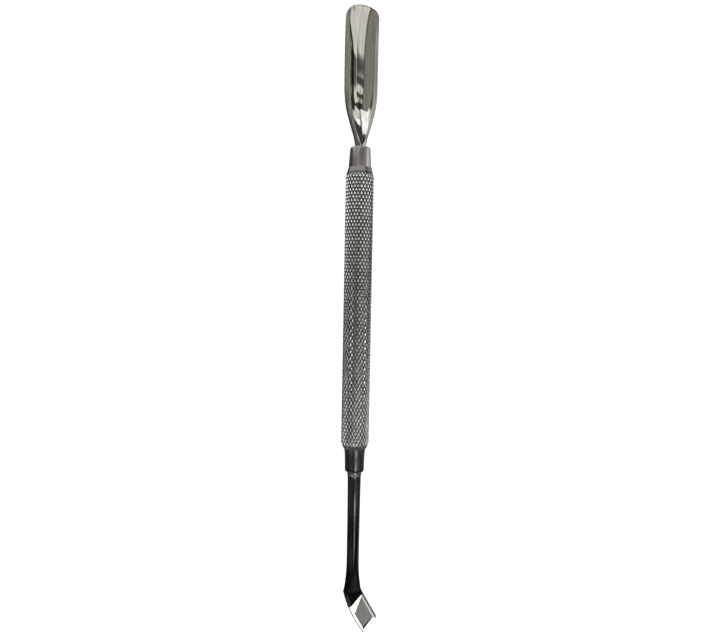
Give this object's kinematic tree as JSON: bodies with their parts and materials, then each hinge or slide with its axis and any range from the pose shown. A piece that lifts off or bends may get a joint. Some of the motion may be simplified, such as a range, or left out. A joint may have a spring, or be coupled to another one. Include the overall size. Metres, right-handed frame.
{
  "type": "cuticle pusher",
  "caption": "Double-ended steel nail tool: a knurled round grip with a scooped pusher at one end and a bent hatchet blade at the other.",
  "frame": {"origin": "on the grip's axis, halfway along the grip", "axes": "+Y along the tool from the blade end to the pusher end, +Z out of the scoop's hollow, +X to the side that the blade's point leans to"},
  "size_m": [0.0091, 0.1336, 0.006],
  "materials": {
    "knurled_steel": "cut diamond knurl, satin",
    "turned_steel": "turned and satin polished along the axis",
    "polished_steel": "polished, with fine lengthwise brushing",
    "dark_steel": "dark shank, bright ground blade faces"
  },
  "bodies": {
    "root": {"grip_barrel": "knurled_steel", "pusher_collar": "turned_steel", "blade_collar": "turned_steel", "scoop_pusher": "polished_steel", "hatchet_blade": "dark_steel"}
  },
  "joints": []
}
